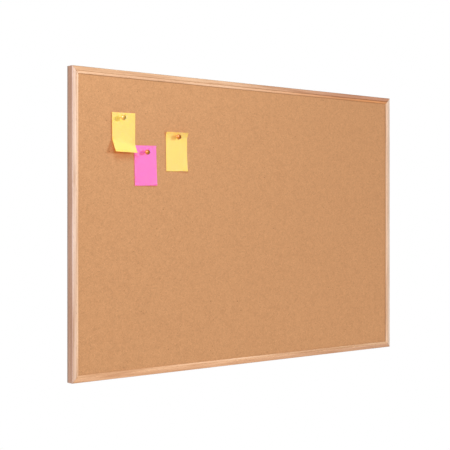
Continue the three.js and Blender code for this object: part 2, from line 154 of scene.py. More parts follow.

# Heartwood tints are for the face and the sloping band. Tones are for the back, side, arris, face, groove and
# sloping band. Part of each tone is the lacquered wood's own colour and part is painted light and shade: each
# band of each stick is lightened or darkened for how light falls on it. The darker arris of the top rail and
# of the right stile and the top rail's darker groove are painted shade, and the left stile's paler arris is a
# painted highlight. On the bottom rail the heartwood tints only darken the rail a little towards its right
# end.
STICKS = (
    Stick("frame_rail_top", 0, ("CFA064", "F0CD9C"),
          ("DAAD84", "DAAD84", "B0967A", "DAAD84", "D1A47D", "EABD97")),
    Stick("frame_stile_right", math.pi / 2, ("FFFFFF", "FFFFFF"),
          ("D3B7A0", "D3B7A0", "CFB198", "D3B7A0", "FFD7AD", "F0C8A7")),
    Stick("frame_rail_bottom", math.pi, ("EAE8EC", "E1D8C0"),
          ("DBA87F", "DBA87F", "CBA68C", "DBA87F", "EDC298", "E0AF82")),
    Stick("frame_stile_left", -math.pi / 2, ("FFFFFF", "FFFFFF"),
          ("B9A99F", "FFD1BB", "FFE1D9", "E0BFA9", "EECEB1", "E2B997")),
)
# Heartwood starts and is full at these places along a rail, to the right of its middle.
HEART_START = -50 * MM
HEART_FULL = 250 * MM

# A lamp's spread is a sun's angle or an area lamp's width.
LAMPS = (
    Lamp("sun", "sun", "SUN", (0.70, -0.69, 0.16), (0, 0, 0), math.radians(12), (0.98, 1.0, 1.03)),
    Lamp("window", "window", "SUN", (-0.76, -0.50, 0.42), (0, 0, 0), math.radians(35), (1.05, 1.0, 0.95)),
    Lamp("softbox", "softbox", "AREA", (-0.5, -0.58, 0.75), (-0.25, 0, 0.1), 0.35, (0.87, 1.0, 1.12)),
    Lamp("back light", "back", "AREA", (1.3, 1.6, 1.0), (0, 0, 0), 1.4, (1.0, 1.0, 1.0)),
    Lamp("pin light", "pins", "SUN", (-0.84, -0.28, 0.47), (0, 0, 0), math.radians(20), (1.0, 1.0, 1.0)),
)


# Colours

def linear(code):
    """An sRGB hex value as linear red, green and blue."""
    channels = [int(code[i:i + 2], 16) / 255 for i in (0, 2, 4)]
    return tuple(c / 12.92 if c <= 0.04045 else ((c + 0.055) / 1.055) ** 2.4 for c in channels)


def opaque(colour, shade=1.0):
    """A colour, made lighter or darker by a factor, with full alpha."""
    return (*(channel * shade for channel in colour), 1.0)


# Settings

def size(name, description, millimetres):
    """A length setting, given in millimetres and kept in metres."""
    return FloatProperty(
        name=name, description=description, default=millimetres * MM, unit="LENGTH", precision=5)


def colour(name, description, code):
    """A colour setting from an sRGB hex value."""
    return FloatVectorProperty(
        name=name, description=description, default=linear(code), subtype="COLOR", min=0, max=1)


def strength(name, description, default, unit="NONE"):
    """A setting for the strength of a light."""
    return FloatProperty(name=name, description=description, default=default, min=0, unit=unit)


class FrameLook(bpy.types.PropertyGroup):
    """The moulding's section and its raw wood."""

    inner_bevel: size("Inner bevel", "Width of the sloping band beside the cork", 2.8)
    bevel_drop: size("Bevel drop", "How far that band falls towards the cork", 0.6)
    lip_edge: size("Lip edge", "Thickness of the front lip at its inner edge", 0.6)
    quirk_width: size("Quirk width", "Width of the fine V-groove on the face", 1.0)
    quirk_depth: size("Quirk depth", "Depth of that groove", 0.5)
    arris: size("Arris", "Reach of the eased outer front edge", 0.5)
    fine_ease: size("Fine ease", "Reach of the other eased edges", 0.2)
    groove_reach: size("Groove reach", "From the outer side to the bottom of the panel's groove", 6.9)
    back_lip: size("Back lip", "Thickness of the lip behind the panel", 2.2)
    back_setback: size("Back setback", "How much narrower the back lip is than the face", 1.2)
    mitre_gap: size("Mitre gap", "Width of the joint line at a corner", 0.2)
    raw: colour("Raw wood", "Tone of the unlacquered back", "CBA882")


class PanelLook(bpy.types.PropertyGroup):
    """The cork sheet and what is pressed into it."""

    cell: size("Cell", "Spacing of the cork surface's points", 3.0)
    relief: size("Relief", "Height of the soft waves in the cork's face", 0.12)
    wave: size("Wave", "Width of those waves", 11.0)
    granule: size("Granule", "Width of a cork granule", 2.0)
    fleck: size("Fleck", "Length of the largest bark fleck", 1.7)
    fleck_count: IntProperty(
        name="Flecks", description="How many bark flecks lie in the face", default=260, min=0)
    cork: colour("Cork", "Middle tone of the cork", "C69164")
    bark: colour("Bark", "Tone of the bark flecks", "8A5E3D")
    backing: colour("Backing", "Tone of the hard fibreboard", "9C7350")
    softboard: colour("Softboard", "Tone of the soft fibreboard", "B08D63")


class NoteLook(bpy.types.PropertyGroup):
    """The paper of the notes."""

    width: size("Width", "Width of a note", 36)
    length: size("Length", "Length of a note", 53)
    thickness: size("Thickness", "Thickness of the paper", 0.2)
    cell: size("Cell", "Spacing of the paper's points", 1.0)
    ripple: size("Ripple", "Height of the paper's soft ripple", 0.15)
    ripple_width: size("Ripple width", "Width of that ripple", 22)
    hole: size("Hole", "Width of the hole round the needle", 1.1)
    yellow: colour("Yellow", "Yellow paper", "FFD276")
    pink: colour("Pink", "Pink paper", "FF7EC0")


class PinLook(bpy.types.PropertyGroup):
    """The ball-headed pins."""

    neck: size("Neck", "Width of the neck under the ball", 2.4)
    neck_ease: size("Neck ease", "Reach of the eased edge under the neck", 0.1)
    needle: size("Needle", "Width of the needle", 1.0)
    point: size("Point", "Length of the needle's tapered end", 2.0)
    yellow: colour("Yellow", "Yellow head", "DDAE4C")
    orange: colour("Orange", "Orange heads", "C87418")
    yellow_light: colour("Yellow light", "Light that comes through the yellow head", "BCBC00")
    orange_light: colour("Orange light", "Light that comes through the orange heads", "DA9500")


class HardwareLook(bpy.types.PropertyGroup):
    """The hangers, staples and wall pads at the back."""

    strap_sheet: size("Strap sheet", "Thickness of the hanger straps", 0.6)
    strap_ease: size("Strap ease", "Reach of the straps' eased edges", 0.12)
    ring_wire: size("Ring wire", "Thickness of the hanger rings", 1.2)
    ring_gap: size("Ring gap", "Gap between the ends of a ring's wire", 0.5)
    screw_head: size("Screw head", "Height of a screw's head", 1.6)
    screw_rim: size("Screw rim", "Height of the straight rim of that head", 0.7)
    screw_shank: size("Screw shank", "Width of a screw's shank", 2.0)
    screw_point: size("Screw point", "Length of its tapered end", 2.0)
    staple_thickness: size("Staple thickness", "Thickness of the staple wire", 0.7)
    staple_width: size("Staple width", "Width of the staple wire", 1.2)
    staple_crown: size("Staple crown", "Width of a staple over its legs", 7.0)
    staple_edge: size("Staple edge", "Rounding of the staple wire's edges", 0.2)
    pad_taper: size("Pad taper", "How much the wall pads narrow towards the wall", 0.5)
    pad_ease: size("Pad ease", "Reach of their eased outer edge", 0.6)
    pad_seat: size("Pad seat", "Reach of the eased edge where they sit", 0.2)
    zinc: colour("Zinc", "Zinc-plated steel", "C6C8CA")
    rubber: colour("Rubber", "Rubber of the wall pads", "3B3936")


class StageLook(bpy.types.PropertyGroup):
    """The camera, lights and floor."""

    lens: FloatProperty(
        name="Lens", description="Focal length in millimetres", default=86.88, min=1,
        subtype="DISTANCE_CAMERA")
    camera: FloatVectorProperty(
        name="Camera", description="Place of the camera", default=(-1.0366, -1.1785, 0.01046),
        subtype="TRANSLATION")
    heading: FloatProperty(
        name="Heading", description="Turn of the level camera to the right of straight ahead",
        default=math.radians(40.36), subtype="ANGLE")
    rise: FloatProperty(
        name="Rise", description="Vertical shift that the framing needs, as a share of its width",
        default=-0.0198)
    floor_drop: size("Floor drop", "From the board's lower edge to the floor", 450)
    floor_radius: size("Floor radius", "Radius of the round floor", 1350)
    sun: strength("Sun", "Strength of the light from the right", 2.45)
    window: strength("Window", "Strength of the wide light from the left", 0.70)
    softbox: strength("Softbox", "Power of the light at the upper left", 5.2, "POWER")
    fill: strength("Fill", "Strength of the light from all round", 0.145)
    back: strength("Back", "Power of the light behind", 45.0, "POWER")
    pins: strength("Pins", "Strength of the light on the pins alone", 4.8)


# Nodes

def add(tree, kind, inputs=None, stops=(), **settings):
    """Add a node with its settings and a ramp's colour stops, and set or link its inputs.

    A node given as an input is linked by its first output in use.
    """
    made = tree.nodes.new(kind)
    for key, value in settings.items():
        setattr(made, key, value)
    if stops:
        elements = made.color_ramp.elements
        while len(elements) < len(stops):
            elements.new(1.0)
        for element, (place, tone) in zip(elements, stops):
            element.position = place
            element.color = tone
    for key, value in (inputs or {}).items():
        if isinstance(value, bpy.types.Node):
            value = next(output for output in value.outputs if output.enabled)
        if isinstance(value, bpy.types.NodeSocket):
            tree.links.new(value, made.inputs[key])
        else:
            made.inputs[key].default_value = value
    return made


def per(millimetres):
    """The texture scale that gives features of a size in millimetres."""
    return 1 / (millimetres * MM)


# Materials

def new_material(name, attribute=None):
    """A material, its node tree, and what its patterns read: an attribute or Object coordinates."""
    material = bpy.data.materials.new(name)
    material.use_nodes = True
    tree = material.node_tree
    tree.nodes.clear()
    if attribute:
        place = add(tree, "ShaderNodeAttribute", attribute_name=attribute).outputs["Vector"]
    else:
        place = add(tree, "ShaderNodeTexCoord").outputs["Object"]
    return material, tree, place


def drawn_out(tree, place, sizes, noise, **mapping):
    """Noise whose features have sizes in millimetres along X, Y and Z."""
    scale = [per(each) for each in sizes]
    mapped = add(tree, "ShaderNodeMapping", {"Vector": place, "Scale": scale, **mapping})
    return add(tree, "ShaderNodeTexNoise", {"Vector": mapped, "Scale": 1.0, **noise})


def laid_over(tree, tone, layers):
    """A tone multiplied by layers of tints, each from a pattern and its colour stops."""
    for pattern, stops in layers:
        shade = add(tree, "ShaderNodeValToRGB", {"Fac": pattern}, stops)
        tone = add(tree, "ShaderNodeMix", {"Factor": 1.0, "A": tone, "B": shade},
                   data_type="RGBA", blend_type="MULTIPLY")
    return tone


def finish_material(material, inputs, relief=None, through=None):
    """Close a material with a Principled shader.

    relief is a pattern, with the strength and the depth in millimetres of its bump. through is the tint of
    the lamps' light that passes, which tints the shadow.
    """
    tree = material.node_tree
    if relief:
        pattern, weight, depth = relief
        bump = add(tree, "ShaderNodeBump", {"Height": pattern, "Strength": weight, "Distance": depth * MM})
        inputs = {**inputs, "Normal": bump}
    surface = add(tree, "ShaderNodeBsdfPrincipled", inputs)
    if through:
        passed = add(tree, "ShaderNodeBsdfTransparent", {"Color": through})
        lamp = add(tree, "ShaderNodeLightPath").outputs["Is Shadow Ray"]
        surface = add(tree, "ShaderNodeMixShader", {0: lamp, 1: surface, 2: passed})
    add(tree, "ShaderNodeOutputMaterial", {"Surface": surface})
    return material


def oak(name, look, stick, seed):
    """Oak, planed, sanded and lacquered: straight growth rings with fine dark pores along the stick."""
    # Grain's X runs along the stick, its Y back from the face, and its Z outwards to 0 at the outer side.
    material, tree, grain = new_material(name, "grain")
    place = add(tree, "ShaderNodeSeparateXYZ", {"Vector": grain}).outputs
    # Along a line round the section, from the back edge to the inner edge, the side, arris, face, groove and
    # sloping band each have their own tone. Part of each tone is the sanded and lacquered wood's own colour
    # and part is painted light and shade, lightening or darkening each band for how light falls on it.
    out_and_back = add(tree, "ShaderNodeMath", {0: place["Z"], 1: place["Y"]}, operation="ADD")
    round_section = add(tree, "ShaderNodeMapRange", {
        "Value": out_and_back, "From Min": DEPTH, "From Max": -FACE_WIDTH})
    back, side, arris, face, groove, band = (opaque(linear(code)) for code in stick.tones)
    wood = add(tree, "ShaderNodeValToRGB", {"Fac": round_section}, (
        (0.0, back), (0.15, side), (0.54, side), (0.555, arris), (0.578, arris), (0.60, face), (0.81, face),
        (0.824, groove), (0.86, groove), (0.872, band)))
    # Heartwood shows on the face, the sloping band and half as much on the side, and the back was left raw.
    heart_face, heart_band = (opaque(linear(code)) for code in stick.heart)
    heart_side = [(1 + channel) / 2 for channel in heart_face]
    heart = add(tree, "ShaderNodeValToRGB", {"Fac": round_section}, (
        (0.48, heart_side), (0.56, heart_face), (0.82, heart_face), (0.872, heart_band)))
    rightwards = math.cos(stick.turn)
    towards_heart = add(tree, "ShaderNodeMapRange", {
        "Value": place["X"], "From Min": HEART_START * rightwards, "From Max": HEART_FULL * rightwards})
    wood = add(tree, "ShaderNodeMix", {"Factor": towards_heart, "A": wood, "B": heart},
               data_type="RGBA", blend_type="MULTIPLY")
    behind = add(tree, "ShaderNodeMapRange", {
        "Value": place["Y"], "From Min": DEPTH - 0.3 * MM, "From Max": DEPTH - 0.1 * MM})
    wood = add(tree, "ShaderNodeMix", {"Factor": behind, "A": wood, "B": opaque(look.raw)}, data_type="RGBA")
    # Grain is drawn out along the stick. Streaks are 90 mm long and 2.4 to 4 mm wide, wider than real rings
    # so that they show in the render, and pores are 6 mm long and 0.35 mm wide.
    streaks = drawn_out(tree, grain, (90, 2.4, 4), {"Detail": 3.0, "Roughness": 0.55, "Distortion": 0.35},
                        Location=(seed, seed, seed))
    broad = drawn_out(tree, grain, (170, 12, 12), {"Detail": 2.0}, Location=(-seed, seed, 0))
    pores = drawn_out(tree, grain, (6, 0.35, 0.35), {"Detail": 1.0})
    wood = laid_over(tree, wood, (
        (streaks, ((0.30, (0.78, 0.68, 0.60, 1.0)), (0.50, (0.95, 0.92, 0.89, 1.0)),
                   (0.70, (1.04, 1.06, 1.08, 1.0)))),
        (broad, ((0.30, (0.93, 0.88, 0.84, 1.0)), (0.62, WHITE))),
        (pores, ((0.28, (0.62, 0.50, 0.42, 1.0)), (0.36, WHITE)))))
    gloss = add(tree, "ShaderNodeMapRange", {
        "Value": streaks, "From Min": 0.3, "From Max": 0.7, "To Min": 0.56, "To Max": 0.44})
    return finish_material(
        material, {"Base Color": wood, "Roughness": gloss, "IOR": 1.5, "Specular IOR Level": 0.25},
        relief=(pores, 0.25, 0.08))


def agglomerated_cork(look):
    """Agglomerated cork, sliced and sanded: granules of many close tones, with thin dark seams."""
    material, tree, place = new_material("agglomerated cork")
    # Real granules are 0.5 to 2 mm wide. They are drawn at the setting's size, so that they show.
    fineness = 1 / look.granule
    granules, seams, crumbs = (
        add(tree, "ShaderNodeTexVoronoi", {"Vector": place, "Scale": scale}, feature=feature)
        for scale, feature in ((fineness, "F1"), (fineness, "DISTANCE_TO_EDGE"), (2.3 * fineness, "F1")))
    mottle = add(tree, "ShaderNodeTexNoise", {
        "Vector": place, "Scale": per(9), "Detail": 3.0, "Roughness": 0.6})
    granule_value = add(tree, "ShaderNodeSeparateColor", {"Color": granules.outputs["Color"]}).outputs["Red"]
    crumb_value = add(tree, "ShaderNodeSeparateColor", {"Color": crumbs.outputs["Color"]}).outputs["Green"]
    mixed = add(tree, "ShaderNodeMix", {"Factor": 0.45, "A": granule_value, "B": crumb_value},
                data_type="FLOAT")
    tones = add(tree, "ShaderNodeValToRGB", {"Fac": mixed}, (
        (0.05, opaque(look.cork, 0.84)), (0.28, opaque(look.cork, 0.96)),
        (0.60, opaque(look.cork, 1.01)), (0.95, opaque(look.cork, 1.09))))
    base = laid_over(tree, tones, (
        (seams, ((0.0, (0.92, 0.89, 0.86, 1.0)), (0.10, WHITE))),
        (mottle, ((0.32, (0.97, 0.96, 0.95, 1.0)), (0.62, (1.01, 1.01, 1.01, 1.0))))))
    height = add(tree, "ShaderNodeMath", {0: mixed, 1: seams}, operation="ADD")
    return finish_material(
        material, {"Base Color": base, "Roughness": 0.88, "IOR": 1.4, "Specular IOR Level": 0.25},
        relief=(height, 0.35, 0.2))


def bark(look):
    """Cork bark, crushed with the cork: dull dark brown flecks with paler edges."""
    material, tree, place = new_material("cork bark")
    noise = add(tree, "ShaderNodeTexNoise", {"Vector": place, "Scale": per(3), "Detail": 2.0})
    tone = add(tree, "ShaderNodeValToRGB", {"Fac": noise}, (
        (0.35, opaque(look.bark, 0.8)), (0.65, opaque(look.bark, 1.7))))
    return finish_material(material, {"Base Color": tone, "Roughness": 0.9, "Specular IOR Level": 0.2})


def hardboard(look):
    """Thin hard fibreboard, rough side out: matted brown fibres with the print of a wire screen."""
    material, tree, place = new_material("hardboard")
    # The screen's print is 1.4 mm apart on real board. It is drawn at 2.4 mm, so that it shows in the render.
    # Blender's wave has 20 radians to a unit.
    screen_scale = 2 * math.pi / 20 * per(2.4)
    across, down = (
        add(tree, "ShaderNodeTexWave", {"Vector": place, "Scale": screen_scale, "Distortion": 0.6},
            wave_type="BANDS", bands_direction=way).outputs["Fac"] for way in "XZ")
    screen = add(tree, "ShaderNodeMath", {0: across, 1: down}, operation="MULTIPLY")
    fibres = drawn_out(tree, place, (6, 2, 1.2), {"Detail": 4.0, "Roughness": 0.65, "Distortion": 0.8},
                       Rotation=(0, 0.6, 0))
    tone = add(tree, "ShaderNodeValToRGB", {"Fac": fibres}, (
        (0.30, opaque(look.backing, 0.62)), (0.50, opaque(look.backing)), (0.72, opaque(look.backing, 1.35))))
    base = laid_over(tree, tone, ((screen, ((0.0, (0.86, 0.84, 0.82, 1.0)), (0.7, WHITE))),))
    return finish_material(
        material, {"Base Color": base, "Roughness": 0.78, "IOR": 1.45}, relief=(screen, 0.4, 0.15))


def softboard(look):
    """Soft fibreboard: loose pale fibres, felted and dull."""
    material, tree, place = new_material("softboard")
    fibres = add(tree, "ShaderNodeTexNoise", {
        "Vector": place, "Scale": per(1.5), "Detail": 4.0, "Roughness": 0.7, "Distortion": 1.2})
    tone = add(tree, "ShaderNodeValToRGB", {"Fac": fibres}, (
        (0.3, opaque(look.softboard, 0.75)), (0.7, opaque(look.softboard, 1.2))))
    return finish_material(material, {"Base Color": tone, "Roughness": 0.92}, relief=(fibres, 0.5, 0.2))


def note_paper(name, tone):
    """Uncoated dyed paper: an even tint with a faint cloud of fibres, and some light comes through it."""
    material, tree, place = new_material(name)
    # Paper fibres are under 0.1 mm. Their clouds are drawn at 2.5 mm, so that they show in the render.
    clouds = add(tree, "ShaderNodeTexNoise", {
        "Vector": place, "Scale": per(2.5), "Detail": 4.0, "Roughness": 0.7})
    tint = add(tree, "ShaderNodeValToRGB", {"Fac": clouds}, ((0.3, opaque(tone, 0.955)), (0.7, opaque(tone))))
    return finish_material(
        material, {
            "Base Color": tint, "Roughness": 0.72, "IOR": 1.45, "Specular IOR Level": 0.3,
            "Subsurface Weight": 1.0, "Subsurface Radius": (1.0, 0.8, 0.3), "Subsurface Scale": 0.4 * MM},
        relief=(clouds, 0.1, 0.05), through=opaque(tone, 0.7))


def polystyrene(name, tone, light):
    """Tinted polystyrene, moulded in a polished tool: glossy and a little milky, with a coloured shadow."""
    material, tree, place = new_material(name)
    swirl = add(tree, "ShaderNodeTexNoise", {
        "Vector": place, "Scale": per(2.2), "Detail": 2.0, "Distortion": 1.5})
    tint = add(tree, "ShaderNodeValToRGB", {"Fac": swirl}, ((0.3, opaque(tone, 0.92)), (0.7, opaque(tone))))
    scuffs = add(tree, "ShaderNodeTexNoise", {"Vector": place, "Scale": per(0.5), "Detail": 3.0})
    gloss = add(tree, "ShaderNodeMapRange", {
        "Value": scuffs, "From Min": 0.4, "From Max": 0.75, "To Min": 0.24, "To Max": 0.34})
    return finish_material(
        material, {
            "Base Color": tint, "Roughness": gloss, "IOR": 1.59, "Specular IOR Level": 0.8,
            "Subsurface Weight": 0.1, "Subsurface Radius": (1.0, 0.4, 0.1), "Subsurface Scale": 0.8 * MM},
        through=opaque(light))


def drawn_steel():
    """Nickel-plated steel wire, drawn and polished: bright, with fine lines along it."""
    material, tree, place = new_material("drawn steel")
    lines = drawn_out(tree, place, (0.12, 4, 0.12), {"Detail": 2.0})
    tint = add(tree, "ShaderNodeValToRGB", {"Fac": lines}, (
        (0.3, opaque(linear("BDBBB6"))), (0.7, opaque(linear("DAD8D3")))))
    gloss = add(tree, "ShaderNodeMapRange", {"Value": lines, "To Min": 0.14, "To Max": 0.32})
    return finish_material(material, {"Base Color": tint, "Metallic": 1.0, "Roughness": gloss})


def zinc_plate(look):
    """Zinc-plated steel: pale grey with a faint cloudy bloom and dull patches from handling."""
    material, tree, place = new_material("zinc plate")
    bloom = add(tree, "ShaderNodeTexNoise", {
        "Vector": place, "Scale": per(2.5), "Detail": 4.0, "Roughness": 0.6})
    tint = add(tree, "ShaderNodeValToRGB", {"Fac": bloom}, (
        (0.3, opaque(look.zinc, 0.72)), (0.55, opaque(look.zinc)), (0.75, opaque(linear("D9D6C8")))))
    gloss = add(tree, "ShaderNodeMapRange", {
        "Value": bloom, "From Min": 0.3, "From Max": 0.7, "To Min": 0.45, "To Max": 0.28})
    return finish_material(
        material, {"Base Color": tint, "Metallic": 1.0, "Roughness": gloss}, relief=(bloom, 0.15, 0.05))


def moulded_rubber(look):
    """Black rubber, moulded: dull, with a grey bloom and a fine grit."""
    material, tree, place = new_material("moulded rubber")
    grit = add(tree, "ShaderNodeTexNoise", {"Vector": place, "Scale": per(0.4), "Detail": 2.0})
    bloom = add(tree, "ShaderNodeTexNoise", {"Vector": place, "Scale": per(3), "Detail": 2.0})
    tint = add(tree, "ShaderNodeValToRGB", {"Fac": bloom}, (
        (0.35, opaque(look.rubber, 0.8)), (0.7, opaque(look.rubber, 1.7))))
    return finish_material(
        material, {"Base Color": tint, "Roughness": 0.82, "IOR": 1.52}, relief=(grit, 0.3, 0.05))


def floor_paint():
    """White floor paint, rolled: even and dull, with wide faint clouds."""
    material, tree, place = new_material("white floor paint")
    clouds = add(tree, "ShaderNodeTexNoise", {"Vector": place, "Scale": per(400), "Detail": 2.0})
    tint = add(tree, "ShaderNodeValToRGB", {"Fac": clouds}, (
        (0.3, opaque(linear("F2F2F0"))), (0.7, opaque(linear("F6F6F4")))))
    return finish_material(material, {"Base Color": tint, "Roughness": 0.8})


# Geometry node trees

def new_tree(name, inputs):
    """A geometry node tree with inputs listed by kind. Returns the tree and its input sockets."""
    tree = bpy.data.node_groups.new(name, "GeometryNodeTree")
    for kind, labels in inputs.items():
        for label in labels:
            tree.interface.new_socket(label, in_out="INPUT", socket_type="NodeSocket" + kind)
    tree.interface.new_socket("Geometry", in_out="OUTPUT", socket_type="NodeSocketGeometry")
    return tree, tree.nodes.new("NodeGroupInput").outputs


def end_tree(tree, geometry, material):
    """Close a tree: make its copies real and give them their material."""
    real = add(tree, "GeometryNodeRealizeInstances", {"Geometry": geometry})
    dressed = add(tree, "GeometryNodeSetMaterial", {"Geometry": real, "Material": material})
    add(tree, "NodeGroupOutput", {"Geometry": dressed})
    return tree


def upright_grid(tree, given, columns, rows, middle):
    """A grid of the tree's Width and Height that stands up round its middle, facing forwards."""
    grid = add(tree, "GeometryNodeMeshGrid", {
        "Size X": given["Width"], "Size Y": given["Height"], "Vertices X": columns, "Vertices Y": rows})
    return add(tree, "GeometryNodeTransform", {"Geometry": grid, "Rotation": UPRIGHT, "Translation": middle})


def joined(tree, *shells):
    """Shells joined into one, with the points of their common edges merged."""
    both = add(tree, "GeometryNodeJoinGeometry")
    for shell in shells:
        tree.links.new(shell.outputs[0], both.inputs["Geometry"])
    return add(tree, "GeometryNodeMergeByDistance", {"Geometry": both, "Distance": MERGE})


def moulding_tree():
    """A length of moulding: a section drawn along a line and mitred at both ends."""
    tree, given = new_tree("mitred moulding", {
        "Geometry": ("Section",), "Float": ("Length", "Rise", "Face", "Mitre Gap", "Turn"),
        "Material": ("Wood",)})
    half = add(tree, "ShaderNodeMath", {0: given["Length"], 1: 0.5}, operation="MULTIPLY")
    minus = add(tree, "ShaderNodeMath", {0: half, 1: -1.0}, operation="MULTIPLY")
    line = add(tree, "GeometryNodeCurvePrimitiveLine", {
        "Start": add(tree, "ShaderNodeCombineXYZ", {"X": minus}),
        "End": add(tree, "ShaderNodeCombineXYZ", {"X": half})})
    section = add(tree, "GeometryNodeMeshToCurve", {"Mesh": given["Section"]})
    stick = add(tree, "GeometryNodeCurveToMesh", {
        "Curve": line, "Profile Curve": section, "Fill Caps": True})
    position = add(tree, "GeometryNodeInputPosition")
    grained = add(tree, "GeometryNodeStoreNamedAttribute", {
        "Geometry": stick, "Name": "grain", "Value": position}, data_type="FLOAT_VECTOR", domain="POINT")
    # Each end is drawn in by its distance from the outer edge and half the joint line.
    place = add(tree, "ShaderNodeSeparateXYZ", {"Vector": position}).outputs
    gap = add(tree, "ShaderNodeMath", {0: given["Mitre Gap"], 1: math.sqrt(0.5)}, operation="MULTIPLY")
    inner = add(tree, "ShaderNodeMath", {0: place["Z"], 1: gap}, operation="SUBTRACT")
    reach = add(tree, "ShaderNodeMath", {0: half, 1: inner}, operation="ADD")
    share = add(tree, "ShaderNodeMath", {0: reach, 1: half}, operation="DIVIDE")
    mitred = add(tree, "GeometryNodeSetPosition", {
        "Geometry": grained,
        "Position": add(tree, "ShaderNodeCombineXYZ", {
            "X": add(tree, "ShaderNodeMath", {0: place["X"], 1: share}, operation="MULTIPLY"),
            "Y": add(tree, "ShaderNodeMath", {0: place["Y"], 1: given["Face"]}, operation="ADD"),
            "Z": add(tree, "ShaderNodeMath", {0: place["Z"], 1: given["Rise"]}, operation="ADD")})})
    turned_round = add(tree, "GeometryNodeTransform", {
        "Geometry": mitred, "Rotation": add(tree, "ShaderNodeCombineXYZ", {"Y": given["Turn"]})})
    return end_tree(tree, turned_round, given["Wood"])


# How a point beyond a bend moves. It goes round an arc for as much of the bend's turn as it reaches, and
# straight on after that. "drawn" is how far it slides along the bend's direction, and "rise" how far it
# moves along Y.
ROLL = (
    ("past", "SUBTRACT", "reach", "Start"),
    ("beyond", "MAXIMUM", "past", 0.0),
    ("full", "DIVIDE", "beyond", "Radius"),
    ("turn", "MINIMUM", "full", "Turn"),
    ("rolled", "MULTIPLY", "turn", "Radius"),
    ("straight", "SUBTRACT", "beyond", "rolled"),
    ("sine", "SINE", "turn"),
    ("cosine", "COSINE", "turn"),
    ("arc across", "MULTIPLY", "sine", "Radius"),
    ("across", "MULTIPLY_ADD", "straight", "cosine", "arc across"),
    ("drawn", "SUBTRACT", "across", "beyond"),
    ("fall", "SUBTRACT", "cosine", 1.0),
    ("arc rise", "MULTIPLY", "fall", "Radius"),
    ("slope", "MULTIPLY", "straight", "sine"),
    ("rise", "SUBTRACT", "arc rise", "slope"),
)
ORDERS = ("First", "Second")


def note_tree():
    """A note: a grid of points that rolls up beyond its bends, thickened, with a hole for its pin."""
    tree, given = new_tree("rolled note", {
        "Float": ("Width", "Height", "Lift", "Thickness", "Ripple", "Ripple Scale", "Hole", "Tilt",
                  *(f"{order} {part}" for order in ORDERS for part in ("Start", "Radius", "Turn"))),
        "Vector": ("Middle From Hole", "Pin", *(f"{order} Direction" for order in ORDERS)),
        "Int": ("Columns", "Rows"), "Material": ("Paper",)})
    upright = upright_grid(tree, given, given["Columns"], given["Rows"], given["Middle From Hole"])
    flat = add(tree, "GeometryNodeInputPosition")
    ripple = add(tree, "ShaderNodeTexNoise", {
        "Vector": flat, "Scale": given["Ripple Scale"], "Detail": 0.0})
    wave = add(tree, "ShaderNodeMath", {0: ripple, 1: given["Ripple"]}, operation="MULTIPLY")
    lifted = add(tree, "ShaderNodeMath", {0: wave, 1: given["Lift"]}, operation="ADD")
    moved = add(tree, "ShaderNodeCombineXYZ", {
        "Y": add(tree, "ShaderNodeMath", {0: lifted, 1: -1.0}, operation="MULTIPLY")})
    for order in ORDERS:
        known = {part: given[f"{order} {part}"] for part in ("Direction", "Start", "Radius", "Turn")}
        known["reach"] = add(tree, "ShaderNodeVectorMath", {0: flat, 1: known["Direction"]},
                             operation="DOT_PRODUCT")
        for name, operation, *operands in ROLL:
            known[name] = add(tree, "ShaderNodeMath", {
                i: known.get(operand, operand) for i, operand in enumerate(operands)}, operation=operation)
        slide = add(tree, "ShaderNodeVectorMath", {0: known["Direction"], "Scale": known["drawn"]},
                    operation="SCALE")
        roll = add(tree, "ShaderNodeVectorMath", {
            0: slide, 1: add(tree, "ShaderNodeCombineXYZ", {"Y": known["rise"]})}, operation="ADD")
        moved = add(tree, "ShaderNodeVectorMath", {0: moved, 1: roll}, operation="ADD")
    sheet = add(tree, "GeometryNodeSetPosition", {"Geometry": upright, "Offset": moved})
    front = add(tree, "GeometryNodeExtrudeMesh", {
        "Mesh": sheet, "Offset Scale": given["Thickness"], "Individual": False}, mode="FACES")
    closed = joined(tree, front, add(tree, "GeometryNodeFlipFaces", {"Mesh": sheet}))
    # The drill is longer than the paper's lift, so that it goes right through.
    needle = add(tree, "GeometryNodeMeshCylinder", {
        "Vertices": 20, "Depth": 20 * MM,
        "Radius": add(tree, "ShaderNodeMath", {0: given["Hole"], 1: 0.5}, operation="MULTIPLY")})
    drill = add(tree, "GeometryNodeTransform", {"Geometry": needle, "Rotation": UPRIGHT})
    holed = add(tree, "GeometryNodeMeshBoolean", {"Mesh 1": closed, "Mesh 2": drill}, operation="DIFFERENCE")
    pinned = add(tree, "GeometryNodeTransform", {
        "Geometry": holed, "Translation": given["Pin"],
        "Rotation": add(tree, "ShaderNodeCombineXYZ", {"Y": given["Tilt"]})})
    return end_tree(tree, pinned, given["Paper"])


def cork_tree():
    """The cork sheet: a slab whose face rises and falls in soft waves."""
    tree, given = new_tree("pressed cork", {
        "Float": ("Width", "Height", "Face", "Thickness", "Relief", "Wave Scale"),
        "Int": ("Columns", "Rows"), "Material": ("Cork",)})
    middle = add(tree, "ShaderNodeCombineXYZ", {"Y": given["Face"]})
    upright = upright_grid(tree, given, given["Columns"], given["Rows"], middle)
    waves = add(tree, "ShaderNodeTexNoise", {
        "Vector": add(tree, "GeometryNodeInputPosition"), "Scale": given["Wave Scale"], "Detail": 1.0})
    sunk = add(tree, "ShaderNodeMath", {0: waves, 1: given["Relief"]}, operation="MULTIPLY")
    face = add(tree, "GeometryNodeSetPosition", {
        "Geometry": upright, "Offset": add(tree, "ShaderNodeCombineXYZ", {"Y": sunk})})
    back = add(tree, "GeometryNodeExtrudeMesh", {
        "Mesh": face, "Offset": add(tree, "ShaderNodeCombineXYZ", {"Y": given["Thickness"]}),
        "Individual": False}, mode="FACES")
    closed = joined(tree, face, add(tree, "GeometryNodeFlipFaces", {"Mesh": back}))
    return end_tree(tree, closed, given["Cork"])


